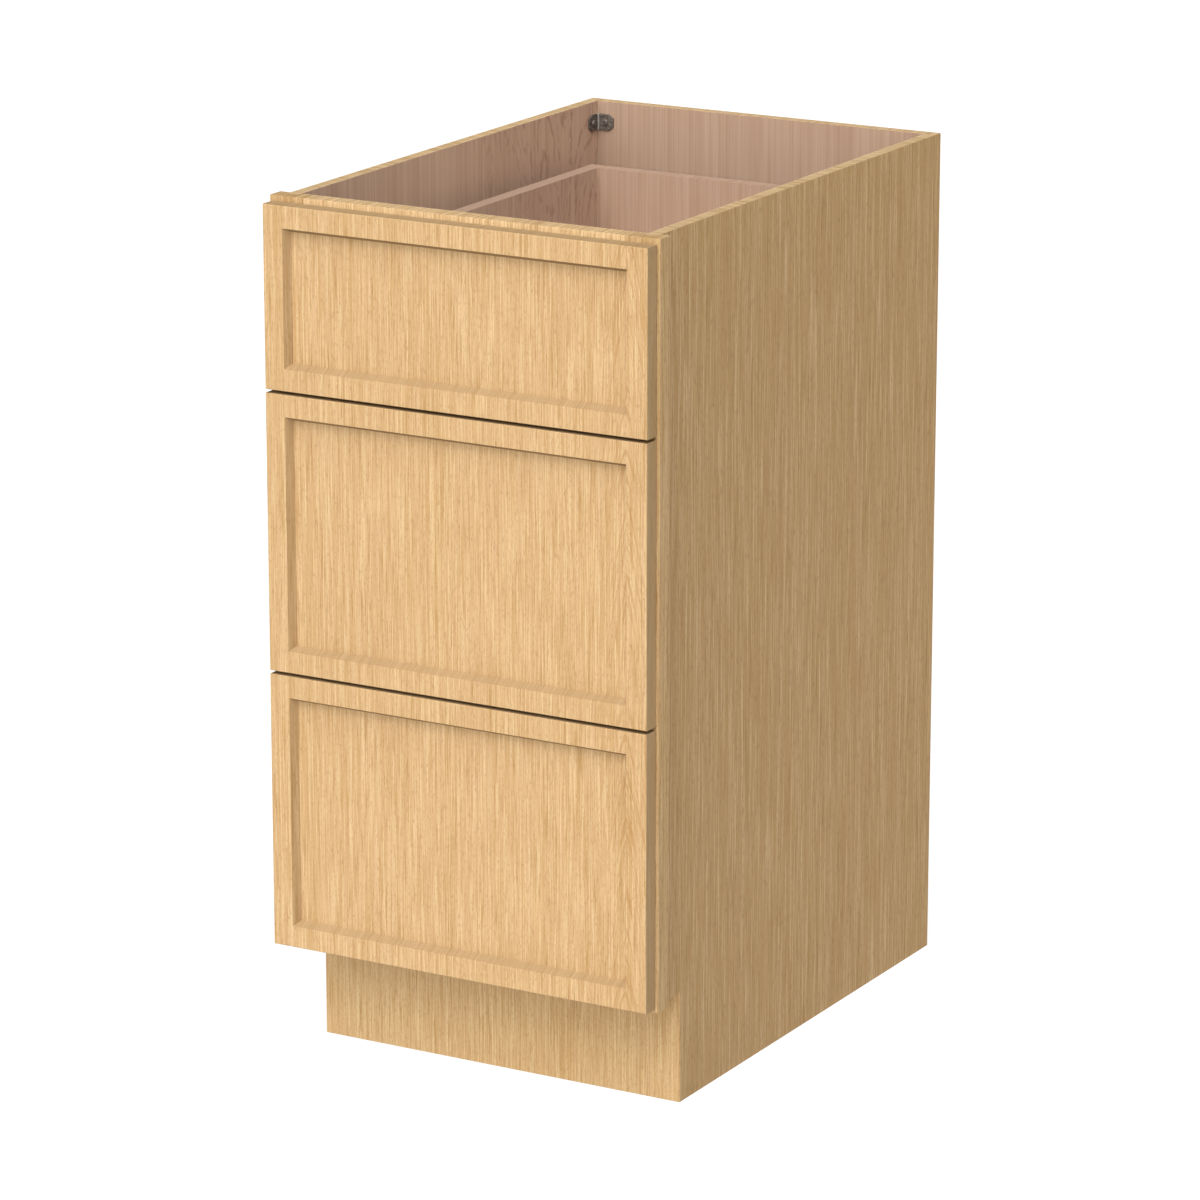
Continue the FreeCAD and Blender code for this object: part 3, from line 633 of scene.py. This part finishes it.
def set_copies(model, material, name, places, node, body):
    """Puts copies of a small model at its places: each with its foot on the place and its way in, and
    turned a little further than the one before, as screws end up."""
    for index, (seat, into) in enumerate(places):
        mesh = model.data.copy()
        mesh.materials.clear()
        mesh.materials.append(material)
        aim = Vector((0, 0, -1)).rotation_difference(into).to_matrix().to_4x4()
        mesh.transform(Matrix.Translation(seat) @ aim @ Matrix.Rotation(radians(37 * index), 4, "Z"))
        piece = bpy.data.objects.new(f"{name}_{index + 1}", mesh)
        bpy.context.scene.collection.objects.link(piece)
        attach(piece, body)
        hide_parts(node)


short_screw = turned_screw(12 * MM)
runner_screw = turned_screw(16.5 * MM)
front_screw = turned_screw(22 * MM)
set_copies(short_screw, bronze, "corner_bracket_screw", screw_seats("corner_bracket_screws"),
           "corner_bracket_screws", "cabinet")
runner_seats = screw_seats("runner_screws")
set_copies(runner_screw, plated, "runner_screw", [seat for seat in runner_seats if seat[1].x],
           "runner_screws", "cabinet")
set_copies(short_screw, plated, "rear_socket_screw", [seat for seat in runner_seats if seat[1].y],
           "runner_screws", "cabinet")
for drawer in DRAWERS:
    node = drawer + "_drawer_front_screws"
    set_copies(front_screw, plated, drawer + "_drawer_front_screw", screw_seats(node), node,
               drawer + "_drawer")

frame_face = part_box("face_frame_left_stile")[0].y
pad_model = domed_pad()
pad_places = []
for corners in islands("drawer_bumpers"):
    centre = middle(corners)[0]
    pad_places.append((Vector((centre.x, frame_face, centre.z)), Vector((0, 1, 0))))
set_copies(pad_model, clear, "drawer_bumper", pad_places, "drawer_bumpers", "cabinet")
for model in (short_screw, runner_screw, front_screw, pad_model):
    bpy.data.objects.remove(model)


# ---------------------------------------------------------------- floor, light and camera

# The floor is wide enough to fill every view, and lies just under the cabinet's foot.
FLOOR_WIDTH, FLOOR_DROP = 60, 0.5 * MM
bpy.ops.object.select_all(action="DESELECT")
bpy.ops.mesh.primitive_plane_add(size=FLOOR_WIDTH, location=(0, 0, -FLOOR_DROP))
floor = bpy.context.object
floor.name = "studio_floor"
floor.data.transform(floor.matrix_world)
floor.matrix_world.identity()
# White paper sweep lit from all round: no edge and hardly any shadow.
floor_white = new_material("lit_paper_floor", Base_Color=linear("#595959"), Roughness=0.9,
                           Emission_Color=linear("#FFFFFF"), Emission_Strength=0.95)[0]
floor.data.materials.append(floor_white)

# The air is bright in a low band all round and dim above it, which lights upright faces softly.
scene = bpy.context.scene
scene.world = bpy.data.worlds.new("studio_air")
scene.world.use_nodes = True
air = scene.world.node_tree
sky = add(air, "TexCoord", output="Generated")
height = add(air, "SeparateXYZ", {0: sky}, 2)
brightness = add(air, "MapRange", {"Value": height, "From Min": 0.1, "From Max": 0.35,
                                   "To Min": 1.6, "To Max": 0.13})
air.links.new(brightness, air.nodes["Background"].inputs["Strength"])


def sun(name, strength, spread_angle, towards):
    """A soft light, spread over an angle in degrees, that comes from where towards points."""
    light = bpy.data.lights.new(name, "SUN")
    light.energy = strength
    light.angle = radians(spread_angle)
    lamp = bpy.data.objects.new(name, light)
    lamp.rotation_euler = Vector(towards).to_track_quat("Z", "Y").to_euler()
    scene.collection.objects.link(lamp)


sun("front_light", 2.75, 70, (0.10, -0.90, 0.42))
sun("high_front_light", 2.15, 50, (0.05, -0.50, 0.865))
sun("fill_light", 0.15, 30, (0.95, 0.00, 0.25))
sun("top_light", 0.9, 60, (0.10, -0.10, 0.99))

# The camera stands in metres from the face frame's front, and looks down and to the left in degrees.
CAMERA_RIGHT, CAMERA_FORWARD, CAMERA_HEIGHT = 2.67525, 4.42984, 1.92488
LOOKS_DOWN, LOOKS_LEFT = 15.409, 29.674
camera_data = bpy.data.cameras.new("photo_camera")
camera_data.sensor_width = 36
camera_data.lens = 166.63
camera = bpy.data.objects.new("photo_camera", camera_data)
camera.location = (CAMERA_RIGHT, frame_face - CAMERA_FORWARD, CAMERA_HEIGHT)
camera.rotation_euler = (radians(90 - LOOKS_DOWN), 0, radians(LOOKS_LEFT))
scene.collection.objects.link(camera)
scene.camera = camera
scene.view_settings.view_transform = "Standard"
